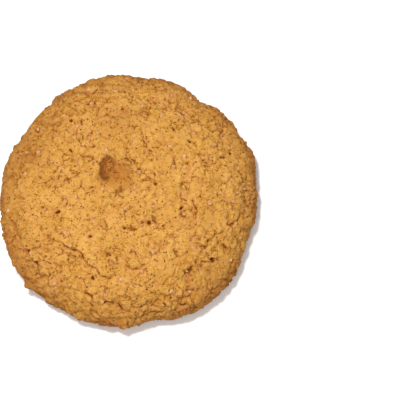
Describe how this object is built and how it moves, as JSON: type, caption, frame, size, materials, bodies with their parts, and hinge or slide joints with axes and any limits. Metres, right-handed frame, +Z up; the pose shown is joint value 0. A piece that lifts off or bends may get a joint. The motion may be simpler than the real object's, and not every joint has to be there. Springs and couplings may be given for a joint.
{
  "type": "oatmeal cookie",
  "caption": "Round domed oatmeal cookie with a cracked golden crust, baked-in coarse sugar, a small tail of dough on top and a flat base; eaten as a snack.",
  "frame": {"origin": "middle of the flat base, on the surface the cookie lies on", "axes": "+Z up out of the domed top, -Y towards the viewer of the picture, +X to the viewer's right"},
  "size_m": [0.0699, 0.0716, 0.0213],
  "materials": {
    "baked_crust": "matt golden-brown baked crust"
  },
  "bodies": {
    "root": {"cookie": "baked_crust"}
  },
  "joints": []
}
